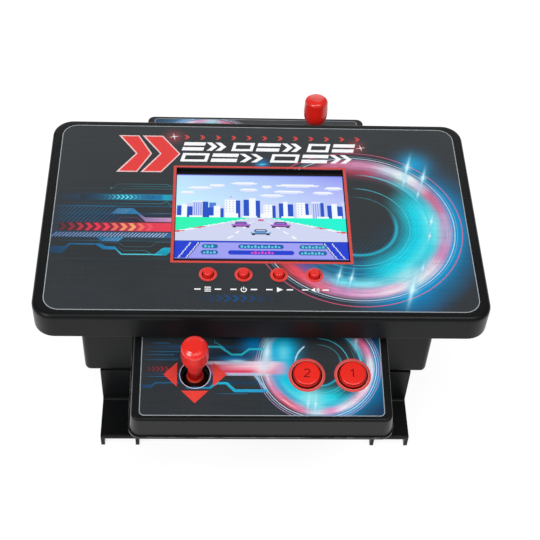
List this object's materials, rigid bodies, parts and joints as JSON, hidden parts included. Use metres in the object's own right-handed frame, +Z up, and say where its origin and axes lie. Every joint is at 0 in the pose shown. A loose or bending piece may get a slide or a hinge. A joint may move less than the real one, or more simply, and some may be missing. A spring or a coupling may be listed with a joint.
{
  "type": "two-player desktop arcade machine",
  "caption": "Table-top game machine: a flat screen slab on two legs, with a tilted joystick and button deck on each of two opposite sides.",
  "frame": {"origin": "on the floor, under the middle of the machine", "axes": "+X along the longest side, to the near player's right; +Y away from the near player; +Z up"},
  "size_m": [0.187, 0.177, 0.1063],
  "materials": {
    "black_shell": "satin black ABS, fine moulded texture",
    "printed_sheet": "printed polycarbonate sheet, semi-gloss",
    "red_plastic": "glossy bright red ABS",
    "screen_glass": "flat panel glass, lit when on",
    "white_plastic": "natural white nylon",
    "black_nylon": "black nylon",
    "steel": "plated pressed steel",
    "screw_steel": "plated self-tapping screws",
    "foam": "black foam tape",
    "ribbon": "flat flexible cable",
    "circuit_board": "green solder mask",
    "chip_black": "black epoxy",
    "pad_rubber": "grey silicone key pad",
    "cell_wrap": "plain wrapped steel cells",
    "lead_insulation": "insulated lead",
    "cone_paper": "pressed black paper"
  },
  "bodies": {
    "root": {"battery_cells": "cell_wrap", "battery_contacts": "steel", "battery_door": "black_shell", "battery_leads": "lead_insulation", "board_screws": "screw_steel", "body_housing": "black_shell", "door_screw": "screw_steel", "far_deck_board": "circuit_board", "far_deck_cover": "black_shell", "far_deck_overlay": "printed_sheet", "far_deck_pad": "pad_rubber", "far_deck_ribbon": "ribbon", "far_deck_screws": "screw_steel", "far_deck_tray": "black_shell", "far_stick_housing": "black_nylon", "function_pad": "pad_rubber", "leg_left": "black_shell", "leg_right": "black_shell", "leg_screws": "screw_steel", "main_board": "circuit_board", "main_board_chips": "chip_black", "main_board_sockets": "white_plastic", "mount_screws": "screw_steel", "near_deck_board": "circuit_board", "near_deck_cover": "black_shell", "near_deck_overlay": "printed_sheet", "near_deck_pad": "pad_rubber", "near_deck_ribbon": "ribbon", "near_deck_screws": "screw_steel", "near_deck_tray": "black_shell", "near_stick_housing": "black_nylon", "screen_backlight": "white_plastic", "screen_frame": "steel", "screen_gasket": "foam", "screen_panel": "screen_glass", "screen_ribbon": "ribbon", "slab_screws": "screw_steel", "speaker_basket": "steel", "speaker_cone": "cone_paper", "speaker_leads": "lead_insulation", "top_cover": "black_shell", "top_overlay": "printed_sheet"},
    "select_button": {"select_button": "red_plastic"},
    "power_button": {"power_button": "red_plastic"},
    "start_button": {"start_button": "red_plastic"},
    "volume_button": {"volume_button": "red_plastic"},
    "near_button_1": {"near_button_1": "red_plastic"},
    "near_button_2": {"near_button_2": "red_plastic"},
    "near_gimbal": {"near_stick_ring": "black_nylon"},
    "near_stick": {"near_stick_shaft": "red_plastic", "near_stick_knob": "red_plastic", "near_stick_pin": "steel"},
    "far_button_1": {"far_button_1": "red_plastic"},
    "far_button_2": {"far_button_2": "red_plastic"},
    "far_gimbal": {"far_stick_ring": "black_nylon"},
    "far_stick": {"far_stick_shaft": "red_plastic", "far_stick_knob": "red_plastic", "far_stick_pin": "steel"}
  },
  "joints": [
    {"name": "select_press", "type": "slide", "parent": "root", "child": "select_button", "axis": [0, 0, -1], "range_m": [0, 0.0008], "stiffness_N_per_m": 1500, "deforming": ["function_pad"]},
    {"name": "power_press", "type": "slide", "parent": "root", "child": "power_button", "axis": [0, 0, -1], "range_m": [0, 0.0008], "stiffness_N_per_m": 1500, "deforming": ["function_pad"]},
    {"name": "start_press", "type": "slide", "parent": "root", "child": "start_button", "axis": [0, 0, -1], "range_m": [0, 0.0008], "stiffness_N_per_m": 1500, "deforming": ["function_pad"]},
    {"name": "volume_press", "type": "slide", "parent": "root", "child": "volume_button", "axis": [0, 0, -1], "range_m": [0, 0.0008], "stiffness_N_per_m": 1500, "deforming": ["function_pad"]},
    {"name": "near_button_1_press", "type": "slide", "parent": "root", "child": "near_button_1", "axis": [0, 0.153, -0.9882], "range_m": [0, 0.0015], "stiffness_N_per_m": 900, "deforming": ["near_deck_pad"]},
    {"name": "near_button_2_press", "type": "slide", "parent": "root", "child": "near_button_2", "axis": [0, 0.153, -0.9882], "range_m": [0, 0.0015], "stiffness_N_per_m": 900, "deforming": ["near_deck_pad"]},
    {"name": "near_stick_fore_aft", "type": "hinge", "parent": "root", "child": "near_gimbal", "pos_m": [-0.0274, -0.0676, 0.07557], "axis": [1, 0, 0], "range_deg": [-10, 10], "stiffness_Nm_per_rad": 0.13, "deforming": ["near_deck_pad"]},
    {"name": "near_stick_sideways", "type": "hinge", "parent": "near_gimbal", "child": "near_stick", "pos_m": [-0.0274, -0.0676, 0.07557], "axis": [0, 0.9882, 0.153], "range_deg": [-10, 10], "stiffness_Nm_per_rad": 0.13, "deforming": ["near_deck_pad"]},
    {"name": "far_button_1_press", "type": "slide", "parent": "root", "child": "far_button_1", "axis": [0, -0.153, -0.9882], "range_m": [0, 0.0015], "stiffness_N_per_m": 900, "deforming": ["far_deck_pad"]},
    {"name": "far_button_2_press", "type": "slide", "parent": "root", "child": "far_button_2", "axis": [0, -0.153, -0.9882], "range_m": [0, 0.0015], "stiffness_N_per_m": 900, "deforming": ["far_deck_pad"]},
    {"name": "far_stick_fore_aft", "type": "hinge", "parent": "root", "child": "far_gimbal", "pos_m": [0.0274, 0.0676, 0.07557], "axis": [-1, 0, 0], "range_deg": [-10, 10], "stiffness_Nm_per_rad": 0.13, "deforming": ["far_deck_pad"]},
    {"name": "far_stick_sideways", "type": "hinge", "parent": "far_gimbal", "child": "far_stick", "pos_m": [0.0274, 0.0676, 0.07557], "axis": [0, -0.9882, 0.153], "range_deg": [-10, 10], "stiffness_Nm_per_rad": 0.13, "deforming": ["far_deck_pad"]}
  ]
}
